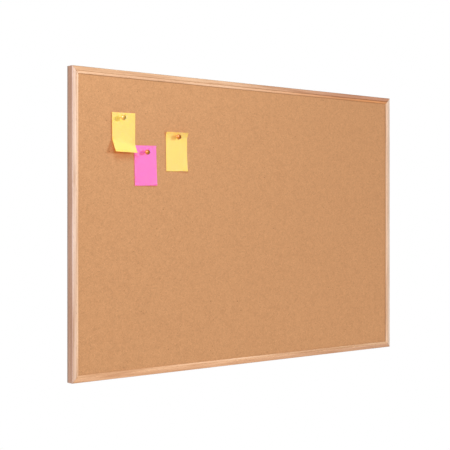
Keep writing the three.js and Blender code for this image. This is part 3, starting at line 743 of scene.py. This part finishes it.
def fleck_tree():
    """Bark flecks: flat chips of many sizes and turns, sunk into the cork's face."""
    tree, given = new_tree("bark flecks", {
        "Float": ("Width", "Height", "Face", "Density", "Largest", "Smallest", "Thickness"),
        "Int": ("Seed",), "Material": ("Bark",)})
    field = upright_grid(tree, given, 2, 2, add(tree, "ShaderNodeCombineXYZ", {"Y": given["Face"]}))
    points = add(tree, "GeometryNodeDistributePointsOnFaces", {
        "Mesh": field, "Density": given["Density"], "Seed": given["Seed"]})
    chip = add(tree, "GeometryNodeMeshCylinder", {"Vertices": 7, "Radius": 0.5, "Depth": 1.0})
    long_side, slim, spin = (
        add(tree, "FunctionNodeRandomValue", {"Min": low, "Max": high, "Seed": seed}, data_type="FLOAT")
        for low, high, seed in (
            (given["Smallest"], given["Largest"], given["Seed"]), (0.35, 0.9, 7), (0.0, 2 * math.pi, 11)))
    short_side = add(tree, "ShaderNodeMath", {0: long_side, 1: slim}, operation="MULTIPLY")
    turned_round = add(tree, "FunctionNodeRotateRotation", {
        "Rotation": points.outputs["Rotation"],
        "Rotate By": add(tree, "ShaderNodeCombineXYZ", {"Z": spin})}, rotation_space="LOCAL")
    chips = add(tree, "GeometryNodeInstanceOnPoints", {
        "Points": points, "Instance": chip, "Rotation": turned_round,
        "Scale": add(tree, "ShaderNodeCombineXYZ", {
            "X": long_side, "Y": short_side, "Z": given["Thickness"]})})
    return end_tree(tree, chips, given["Bark"])


def wire_tree():
    """A bent wire: a rounded flat or round section drawn along a path with eased bends."""
    tree, given = new_tree("bent wire", {
        "Geometry": ("Path",), "Float": ("Thickness", "Width", "Edge", "Bend"), "Material": ("Metal",)})
    section = add(tree, "GeometryNodeCurvePrimitiveQuadrilateral", {
        "Width": given["Thickness"], "Height": given["Width"]}, mode="RECTANGLE")
    path = add(tree, "GeometryNodeMeshToCurve", {"Mesh": given["Path"]})
    rounded, eased_path = (
        add(tree, "GeometryNodeFilletCurve", {
            "Curve": line, "Radius": radius, "Count": count, "Limit Radius": True}, mode="POLY")
        for line, radius, count in ((section, given["Edge"], 4), (path, given["Bend"], 6)))
    wire = add(tree, "GeometryNodeCurveToMesh", {
        "Curve": eased_path, "Profile Curve": rounded, "Fill Caps": True})
    return end_tree(tree, wire, given["Metal"])


def corner_tree():
    """A piece set out at the four corners of a rectangle, square to each corner's mitre."""
    tree, given = new_tree("four corners", {
        "Geometry": ("Piece",), "Float": ("Width", "Height", "Back"), "Material": ("Metal",)})
    corners = upright_grid(tree, given, 2, 2, add(tree, "ShaderNodeCombineXYZ", {"Y": given["Back"]}))
    place = add(tree, "ShaderNodeSeparateXYZ", {"Vector": add(tree, "GeometryNodeInputPosition")}).outputs
    quarter = add(tree, "ShaderNodeMath", {0: place["X"], 1: place["Z"]}, operation="MULTIPLY")
    way = add(tree, "ShaderNodeMath", {0: quarter}, operation="SIGN")
    turn = add(tree, "ShaderNodeMath", {0: way, 1: math.pi / 4}, operation="MULTIPLY")
    copies = add(tree, "GeometryNodeInstanceOnPoints", {
        "Points": corners, "Instance": given["Piece"],
        "Rotation": add(tree, "ShaderNodeCombineXYZ", {"Y": turn})})
    return end_tree(tree, copies, given["Metal"])


def pair_tree():
    """A piece set out twice, left and right of the board's middle."""
    tree, given = new_tree("left and right", {
        "Geometry": ("Piece",), "Float": ("Spacing",), "Material": ("Finish",)})
    half = add(tree, "ShaderNodeMath", {0: given["Spacing"], 1: -0.5}, operation="MULTIPLY")
    line = add(tree, "GeometryNodeMeshLine", {
        "Count": 2, "Start Location": add(tree, "ShaderNodeCombineXYZ", {"X": half}),
        "Offset": add(tree, "ShaderNodeCombineXYZ", {"X": given["Spacing"]})}, mode="OFFSET")
    copies = add(tree, "GeometryNodeInstanceOnPoints", {"Points": line, "Instance": given["Piece"]})
    return end_tree(tree, copies, given["Finish"])


# Meshes

def new_object(name, data):
    """An object at the origin, in the scene."""
    made = bpy.data.objects.new(name, data)
    bpy.context.scene.collection.objects.link(made)
    return made


def smooth(mesh, degrees=35):
    """Shade a mesh smooth, apart from edges sharper than an angle."""
    mesh.polygons.foreach_set("use_smooth", [True] * len(mesh.polygons))
    mesh.set_sharp_from_angle(angle=math.radians(degrees))


def to_mesh(form, name):
    """Turn a bmesh form into a mesh, and free the form."""
    mesh = bpy.data.meshes.new(name)
    form.to_mesh(mesh)
    form.free()
    return mesh


def run_tree(name, tree, inputs, mesh=None):
    """Run a node tree on a mesh and keep the result as a plain mesh on a new object."""
    made = new_object(name, mesh or bpy.data.meshes.new(name))
    modifier = made.modifiers.new(tree.name, "NODES")
    modifier.node_group = tree
    for item in tree.interface.items_tree:
        if item.in_out == "INPUT" and item.name in inputs:
            modifier[item.identifier] = inputs[item.name]
    keep_modifiers(made)
    return made


def keep_modifiers(made):
    """Turn an object's modifiers into its plain mesh, without doubled points or faces that have no area."""
    depsgraph = bpy.context.evaluated_depsgraph_get()
    mesh = bpy.data.meshes.new_from_object(
        made.evaluated_get(depsgraph), preserve_all_data_layers=True, depsgraph=depsgraph)
    form = bmesh.new()
    form.from_mesh(mesh)
    bmesh.ops.remove_doubles(form, verts=form.verts, dist=SLIVER)
    bmesh.ops.dissolve_degenerate(form, edges=form.edges, dist=SLIVER)
    form.to_mesh(mesh)
    form.free()
    made.modifiers.clear()
    made.data = mesh
    mesh.name = made.name
    if not mesh.polygons:
        raise RuntimeError(f"{made.name} came out empty")
    smooth(mesh)


def polyline(name, points, closed):
    """A mesh of edges through points, for a node tree to follow."""
    mesh = bpy.data.meshes.new(name)
    count = len(points)
    mesh.from_pydata(
        [Vector(point).to_3d() for point in points],
        [(i, (i + 1) % count) for i in range(count if closed else count - 1)], [])
    return mesh


def eased(corners, steps=4):
    """A closed outline from corners of x, y and ease, each rounded over that reach of its sides."""
    outline = []
    for i, (x, y, ease) in enumerate(corners):
        here = Vector((x, y))
        if not ease:
            outline.append(here)
            continue
        before = here + (Vector(corners[i - 1][:2]) - here).normalized() * ease
        after = here + (Vector(corners[(i + 1) % len(corners)][:2]) - here).normalized() * ease
        for k in range(steps + 1):
            share = k / steps
            outline.append(before.lerp(here, share).lerp(here.lerp(after, share), share))
    return outline


def arc(radius, from_angle, to_angle, steps):
    """Points on an arc round the origin, as pairs."""
    angles = [from_angle + (to_angle - from_angle) * i / steps for i in range(steps + 1)]
    return [(radius * math.cos(angle), radius * math.sin(angle)) for angle in angles]


def turned(name, outline, middle, segments):
    """A turned mesh: an outline of radius and level, spun about a line along Y through a point."""
    form = bmesh.new()
    corners = [form.verts.new((middle.x + radius, level, middle.z)) for radius, level in outline]
    edges = [form.edges.new(pair) for pair in zip(corners, corners[1:])]
    bmesh.ops.spin(
        form, geom=corners + edges, cent=middle, axis=(0, 1, 0), angle=2 * math.pi, steps=segments)
    bmesh.ops.remove_doubles(form, verts=form.verts, dist=MERGE)
    bmesh.ops.recalc_face_normals(form, faces=form.faces)
    mesh = to_mesh(form, name)
    smooth(mesh)
    return mesh


def settle(piece, body, slot, *nodes):
    """Tie a finished piece to its body and hide the solids that it stands for. The slot argument is not used.
    """
    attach(piece, body)
    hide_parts(*nodes)


def dress(node, material):
    """Give a solid that stays in view its material."""
    mesh = frame["nodes"][node].data
    mesh.materials.clear()
    mesh.materials.append(material)


# Operators

class PINBOARD_OT_frame(bpy.types.Operator):
    """Make the four mitred sticks of the frame"""

    bl_idname = "pinboard.frame"
    bl_label = "Frame"

    def execute(self, context):
        look = context.scene.pinboard_frame
        flat_band = FACE_WIDTH - look.inner_bevel - look.quirk_width
        groove_front = look.bevel_drop + look.lip_edge
        groove_back = DEPTH - look.back_lip
        back_edge = FACE_WIDTH - look.back_setback
        fine = look.fine_ease
        # Corners are given inwards from the outer side and back from the face.
        corners = (
            (0, 0, look.arris),
            (flat_band, 0, fine),
            (flat_band + look.quirk_width / 2, look.quirk_depth, fine / 2),
            (flat_band + look.quirk_width, 0, fine),
            (FACE_WIDTH, look.bevel_drop, fine),
            (FACE_WIDTH, groove_front, fine),
            (look.groove_reach, groove_front, 0),
            (look.groove_reach, groove_back, 0),
            (back_edge, groove_back, 0),
            (back_edge, DEPTH, fine),
            (0, DEPTH, fine),
        )
        section = [(-point.y, point.x) for point in eased(corners)]
        tree = moulding_tree()
        for order, stick in enumerate(STICKS, start=1):
            name = stick.node.replace("frame", "oak")
            upright = "stile" in name
            span, spread = (BOARD_HEIGHT, BOARD_WIDTH) if upright else (BOARD_WIDTH, BOARD_HEIGHT)
            wood = oak(name, look, stick, seed=3.7 * order)
            piece = run_tree(name, tree, {
                "Length": span, "Rise": spread / 2, "Face": FACE_Y, "Mitre Gap": look.mitre_gap,
                "Turn": stick.turn, "Wood": wood}, polyline(name, section, closed=True))
            settle(piece, "board", "frame_wood", stick.node)
        return {"FINISHED"}


class PINBOARD_OT_staples(bpy.types.Operator):
    """Make the wire staples across the mitres, at the back"""

    bl_idname = "pinboard.staples"
    bl_label = "Corner Staples"

    def execute(self, context):
        look = context.scene.pinboard_hardware
        low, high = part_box("corner_staple_top_left")
        half = (look.staple_crown - look.staple_thickness) / 2
        crown_level = high.y - BACK_Y - look.staple_thickness / 2
        foot_level = low.y - BACK_Y
        path = polyline("staple path", [
            (-half, foot_level), (-half, crown_level), (half, crown_level), (half, foot_level)], closed=False)
        zinc = zinc_plate(look)
        wire = run_tree("staple wire", wire_tree(), {
            "Thickness": look.staple_thickness, "Width": look.staple_width, "Edge": look.staple_edge,
            "Bend": look.staple_thickness, "Metal": zinc}, path)
        staples = run_tree("corner_staples", corner_tree(), {
            "Width": BOARD_WIDTH - FACE_WIDTH, "Height": BOARD_HEIGHT - FACE_WIDTH, "Back": BACK_Y,
            "Metal": zinc}, wire.data)
        bpy.data.objects.remove(wire)
        corners = ("top_left", "top_right", "bottom_left", "bottom_right")
        settle(staples, "board", "zinc_steel", *(f"corner_staple_{corner}" for corner in corners))
        return {"FINISHED"}


class PINBOARD_OT_panel(bpy.types.Operator):
    """Make the cork face with its flecks, and finish the boards behind it"""

    bl_idname = "pinboard.panel"
    bl_label = "Panel"

    def execute(self, context):
        look = context.scene.pinboard_panel
        low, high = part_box("cork_sheet")
        slab = high - low
        cork = run_tree("cork_face", cork_tree(), {
            "Width": slab.x, "Height": slab.z, "Columns": round(slab.x / look.cell),
            "Rows": round(slab.z / look.cell), "Face": low.y, "Thickness": slab.y - look.relief,
            "Relief": look.relief, "Wave Scale": 1 / look.wave, "Cork": agglomerated_cork(look)})
        settle(cork, "board", "cork", "cork_sheet")
        # The middles of flecks stay clear of the frame by the length of the largest.
        width = BOARD_WIDTH - 2 * (FACE_WIDTH + look.fleck)
        height = BOARD_HEIGHT - 2 * (FACE_WIDTH + look.fleck)
        flecks = run_tree("bark_flecks", fleck_tree(), {
            "Width": width, "Height": height, "Face": low.y + look.relief / 2,
            "Density": look.fleck_count / (width * height), "Largest": look.fleck,
            "Smallest": look.fleck / 4, "Thickness": look.relief, "Seed": 5, "Bark": bark(look)})
        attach(flecks, "board")
        dress("softboard_core", softboard(look))
        dress("backing_sheet", hardboard(look))
        return {"FINISHED"}


class PINBOARD_OT_notes(bpy.types.Operator):
    """Make the three paper notes"""

    bl_idname = "pinboard.notes"
    bl_label = "Notes"

    def execute(self, context):
        look = context.scene.pinboard_notes
        papers = {tint: note_paper(f"{tint} note paper", getattr(look, tint)) for tint in ("yellow", "pink")}
        tree = note_tree()
        for note in NOTES:
            inputs = {
                "Width": look.width, "Height": look.length, "Columns": round(look.width / look.cell),
                "Rows": round(look.length / look.cell), "Lift": note.lift, "Thickness": look.thickness,
                "Ripple": look.ripple, "Ripple Scale": 1 / look.ripple_width, "Hole": look.hole,
                "Tilt": -math.radians(note.tilt),
                "Middle From Hole": (look.width / 2 - note.hole_left, 0, note.hole_top - look.length / 2),
                "Pin": PIVOTS[f"note_{note.side}_turn"], "Paper": papers[note.paper]}
            for order, bend in zip(ORDERS, note.bends):
                angle = math.radians(bend.towards)
                inputs[f"{order} Direction"] = (math.cos(angle), 0, math.sin(angle))
                inputs[f"{order} Start"] = bend.start
                inputs[f"{order} Radius"] = bend.radius
                inputs[f"{order} Turn"] = math.radians(bend.turn)
            piece = run_tree(f"paper_{note.node}", tree, inputs)
            settle(piece, f"note_{note.side}", f"{note.paper}_paper", note.node)
        return {"FINISHED"}


class PINBOARD_OT_pins(bpy.types.Operator):
    """Make the ball-headed pins"""

    bl_idname = "pinboard.pins"
    bl_label = "Pins"

    def execute(self, context):
        look = context.scene.pinboard_pins
        plastics = {
            tint: polystyrene(f"{tint} polystyrene", getattr(look, tint), getattr(look, f"{tint}_light"))
            for tint in ("yellow", "orange")}
        steel = drawn_steel()
        for side, tint in PIN_TINTS.items():
            low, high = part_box(f"pin_head_{side}")
            radius = (high.z - low.z) / 2
            neck = look.neck / 2
            join = math.asin(neck / radius)
            ball = [(y, low.y + radius + x) for x, y in arc(radius, math.pi, join, steps=24)]
            head = [*ball, (neck, high.y - look.neck_ease), (neck - look.neck_ease, high.y), (0, high.y)]
            start, tip = (corner.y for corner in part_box(f"pin_needle_{side}"))
            half = look.needle / 2
            shank = [(0, start), (half, start), (half, tip - look.point), (0, tip)]
            for kind, outline, segments, finish, slot, solid in (
                    ("pin_ball", head, 40, plastics[tint], f"{tint}_plastic", "pin_head"),
                    ("pin_wire", shank, 20, steel, "needle_steel", "pin_needle")):
                name = f"{kind}_{side}"
                piece = new_object(name, turned(name, outline, PIVOTS[f"note_{side}_turn"], segments))
                piece.data.materials.append(finish)
                settle(piece, f"pin_{side}", slot, f"{solid}_{side}")
        return {"FINISHED"}


class PINBOARD_OT_hangers(bpy.types.Operator):
    """Make the hanger straps, their rings and their screws"""

    bl_idname = "pinboard.hangers"
    bl_label = "Hangers"

    def execute(self, context):
        look = context.scene.pinboard_hardware
        zinc = zinc_plate(look)
        pivots = {side: PIVOTS[f"ring_{side}_swing"] for side in ("left", "right")}
        spacing = pivots["right"].x - pivots["left"].x
        pairs = pair_tree()
        for solid, form in (
                ("hanger_strap", self.strap(look, pivots["right"])), ("hanger_screw", self.screw(look))):
            piece = run_tree(f"{solid}s", pairs, {"Spacing": spacing, "Finish": zinc}, form)
            settle(piece, "board", "zinc_steel", f"{solid}_left", f"{solid}_right")
        tree = wire_tree()
        for side, pivot in pivots.items():
            path = polyline(f"ring path {side}", self.ring(look, side, pivot), closed=False)
            ring = run_tree(f"wire_ring_{side}", tree, {
                "Thickness": look.ring_wire, "Width": look.ring_wire, "Edge": look.ring_wire / 2,
                "Bend": look.ring_wire / 2, "Metal": zinc}, path)
            settle(ring, f"ring_{side}", "zinc_steel", f"hanger_ring_{side}")
        return {"FINISHED"}

    def strap(self, look, pivot):
        """A strip with a round lower end, curled round the ring's wire at the top."""
        low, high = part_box("hanger_strap_right")
        half = (high.x - low.x) / 2
        radius = high.z - pivot.z - look.strap_sheet / 2
        foot = low.z - pivot.z
        # Each station has a half width and a place, back and up from the ring's pivot. The round end starts a
        # little off its tip, so that the strip has a first edge, and the curl stops short of the strip.
        round_end = [math.radians(degrees) for degrees in range(10, 91, 8)]
        curl_turn = math.radians(290)
        curl = arc(radius, math.pi, math.pi - curl_turn, steps=36)
        stations = [
            *((half * math.sin(a), (-radius, foot + half - half * math.cos(a))) for a in round_end),
            *((half, point) for point in curl)]
        form = bmesh.new()
        rings = []
        for i, (width, (back, level)) in enumerate(stations):
            before = Vector(stations[max(i - 1, 0)][1])
            after = Vector(stations[min(i + 1, len(stations) - 1)][1])
            run = (after - before).normalized()
            out = Vector((-run.y, run.x)) * look.strap_sheet / 2
            rings.append([
                form.verts.new((x, pivot.y + back + side * out.x, pivot.z + level + side * out.y))
                for x, side in ((-width, -1), (width, -1), (width, 1), (-width, 1))])
        for lower, upper in zip(rings, rings[1:]):
            for i in range(4):
                j = (i + 1) % 4
                form.faces.new((lower[i], lower[j], upper[j], upper[i]))
        form.faces.new(rings[0])
        form.faces.new(rings[-1])
        bmesh.ops.recalc_face_normals(form, faces=form.faces)
        made = new_object("strap form", to_mesh(form, "strap form"))
        edges = made.modifiers.new("eased edges", "BEVEL")
        edges.width = look.strap_ease
        edges.segments = 2
        return self.taken_off(made)

    def ring(self, look, side, pivot):
        """The wire's path: along the bar in the eye, up one side, over a round top and back."""
        low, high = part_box(f"hanger_ring_{side}")
        reach = (high.x - low.x - look.ring_wire) / 2
        top = high.z - pivot.z - look.ring_wire / 2 - reach
        end = look.ring_gap / 2
        bow = [(x, top + z) for x, z in arc(reach, 0, math.pi, steps=24)]
        outline = [(end, 0), (reach, 0), *bow, (-reach, 0), (-end, 0)]
        return [(pivot.x + x, pivot.y, pivot.z + z) for x, z in outline]

    def screw(self, look):
        """A pan head with a cross recess on a pointed shank."""
        low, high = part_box("hanger_screw_right")
        head = (high.z - low.z) / 2
        seat = high.y - look.screw_head
        rim = seat + look.screw_rim
        crown = [
            (x, rim + y * (high.y - rim) / head) for x, y in arc(head, 0, math.pi / 2, steps=10)]
        shank = look.screw_shank / 2
        outline = [(0, low.y), (shank, low.y + look.screw_point), (shank, seat), (head, seat), *crown]
        middle = Vector((0, 0, (low.z + high.z) / 2))
        made = new_object("screw blank", turned("screw blank", outline, middle, segments=32))
        # The recess is two crossed blades that narrow as they go in, and stand proud of the crown.
        top_width, foot_width, thickness, height, sunk = (mm * MM for mm in (2.4, 1.2, 0.5, 1.4, 0.3))
        recess = bmesh.new()
        for turn in (0, math.pi / 2):
            for corner in bmesh.ops.create_cube(recess, size=1)["verts"]:
                x = corner.co.x * (top_width if corner.co.y > 0 else foot_width)
                z = corner.co.z * thickness
                corner.co = (
                    middle.x + x * math.cos(turn) - z * math.sin(turn),
                    high.y - sunk + corner.co.y * height,
                    middle.z + x * math.sin(turn) + z * math.cos(turn))
        cutter = new_object("cross recess", to_mesh(recess, "cross recess"))
        cut = made.modifiers.new("cross recess", "BOOLEAN")
        cut.object = cutter
        cut.solver = "EXACT"
        cut.use_self = True
        mesh = self.taken_off(made)
        bpy.data.objects.remove(cutter)
        return mesh

    def taken_off(self, made):
        """Keep an object's modifiers in its mesh, and give back the mesh without the object."""
        keep_modifiers(made)
        mesh = made.data
        bpy.data.objects.remove(made)
        return mesh


class PINBOARD_OT_bumpers(bpy.types.Operator):
    """Make the rubber pads at the back of the lower rail"""

    bl_idname = "pinboard.bumpers"
    bl_label = "Wall Pads"

    def execute(self, context):
        look = context.scene.pinboard_hardware
        low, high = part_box("wall_bumper_right")
        radius = (high.z - low.z) / 2
        corners = (
            (0, low.y, 0), (radius, low.y, look.pad_seat), (radius - look.pad_taper, high.y, look.pad_ease),
            (0, high.y, 0))
        outline = [(point.x, point.y) for point in eased(corners)]
        middle = Vector((0, 0, (low.z + high.z) / 2))
        pads = run_tree("wall_pads", pair_tree(), {
            "Spacing": low.x + high.x, "Finish": moulded_rubber(look)},
            turned("pad form", outline, middle, segments=36))
        settle(pads, "board", "bumper_rubber", "wall_bumper_left", "wall_bumper_right")
        return {"FINISHED"}


class PINBOARD_OT_stage(bpy.types.Operator):
    """Make the camera, the lights, the white surround and the floor"""

    bl_idname = "pinboard.stage"
    bl_label = "Stage"

    def execute(self, context):
        scene = context.scene
        look = scene.pinboard_stage
        scene.view_settings.view_transform = "Standard"
        lens = bpy.data.cameras.new("camera")
        lens.lens = look.lens
        lens.shift_y = look.rise
        camera = new_object("camera", lens)
        camera.location = look.camera
        camera.rotation_euler = (math.pi / 2, 0, -look.heading)
        scene.camera = camera
        lights = {lamp.name: self.light(lamp, getattr(look, lamp.setting)) for lamp in LAMPS}
        # The balls pass the broad lamps' light on, and show a lamp of their own. Only the sun casts their
        # shadows.
        balls = [made for made in scene.objects if made.name.startswith("pin_ball")]
        spared = self.group("balls left out", balls, "EXCLUDE")
        for name in ("sun", "window", "softbox"):
            lights[name].light_linking.receiver_collection = spared
        for name in ("window", "softbox"):
            lights[name].light_linking.blocker_collection = spared
        alone = self.group("balls alone", balls, "INCLUDE")
        lights["pin light"].light_linking.receiver_collection = alone
        scene.world = self.surround(look)
        bpy.ops.mesh.primitive_circle_add(
            vertices=96, radius=look.floor_radius, fill_type="NGON",
            location=(0, 0, FOOT_EDGE - look.floor_drop))
        floor = context.object
        floor.name = "floor"
        floor.data.materials.append(floor_paint())
        return {"FINISHED"}

    def light(self, lamp, energy):
        """A lamp at its place, turned to its aim."""
        data = bpy.data.lights.new(lamp.name, lamp.kind)
        data.energy = energy
        data.color = lamp.colour
        setattr(data, "angle" if lamp.kind == "SUN" else "size", lamp.spread)
        made = new_object(lamp.name, data)
        made.location = lamp.place
        made.rotation_euler = (Vector(lamp.aim) - Vector(lamp.place)).to_track_quat("-Z", "Y").to_euler()
        made.visible_camera = False
        return made

    def group(self, name, pieces, state):
        """A collection that takes pieces into a lamp's light or leaves them out."""
        made = bpy.data.collections.new(name)
        for piece in pieces:
            made.objects.link(piece)
        for member in made.collection_objects:
            member.light_linking.link_state = state
        return made

    def surround(self, look):
        """Even warm light from all round, seen as plain white."""
        world = bpy.data.worlds.new("white surround")
        world.use_nodes = True
        tree = world.node_tree
        tree.nodes.clear()
        fill = add(tree, "ShaderNodeBackground", {"Color": (1.2, 1.0, 0.8, 1.0), "Strength": look.fill})
        white = add(tree, "ShaderNodeBackground", {"Color": WHITE, "Strength": 1.0})
        seen = add(tree, "ShaderNodeLightPath").outputs["Is Camera Ray"]
        both = add(tree, "ShaderNodeMixShader", {0: seen, 1: fill, 2: white})
        add(tree, "ShaderNodeOutputWorld", {"Surface": both})
        return world


class PINBOARD_PT_panel(bpy.types.Panel):
    """Lists the steps that make the pin board"""

    bl_idname = "PINBOARD_PT_panel"
    bl_label = "Pin Board"
    bl_space_type = "VIEW_3D"
    bl_region_type = "UI"
    bl_category = "Pin Board"

    def draw(self, context):
        for step in STEPS:
            self.layout.operator(step.bl_idname)


LOOKS = {
    "pinboard_frame": FrameLook,
    "pinboard_panel": PanelLook,
    "pinboard_notes": NoteLook,
    "pinboard_pins": PinLook,
    "pinboard_hardware": HardwareLook,
    "pinboard_stage": StageLook,
}
STEPS = (
    PINBOARD_OT_frame, PINBOARD_OT_staples, PINBOARD_OT_panel, PINBOARD_OT_notes, PINBOARD_OT_pins,
    PINBOARD_OT_hangers, PINBOARD_OT_bumpers, PINBOARD_OT_stage,
)
CLASSES = (*LOOKS.values(), *STEPS, PINBOARD_PT_panel)


def register():
    for made in CLASSES:
        bpy.utils.register_class(made)
    for name, look in LOOKS.items():
        setattr(bpy.types.Scene, name, PointerProperty(type=look))


def unregister():
    for name in LOOKS:
        delattr(bpy.types.Scene, name)
    for made in reversed(CLASSES):
        bpy.utils.unregister_class(made)


def main():
    """Register the add-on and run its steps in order."""
    register()
    for step in STEPS:
        group, name = step.bl_idname.split(".")
        getattr(getattr(bpy.ops, group), name)()


if __name__ == "__main__":
    main()
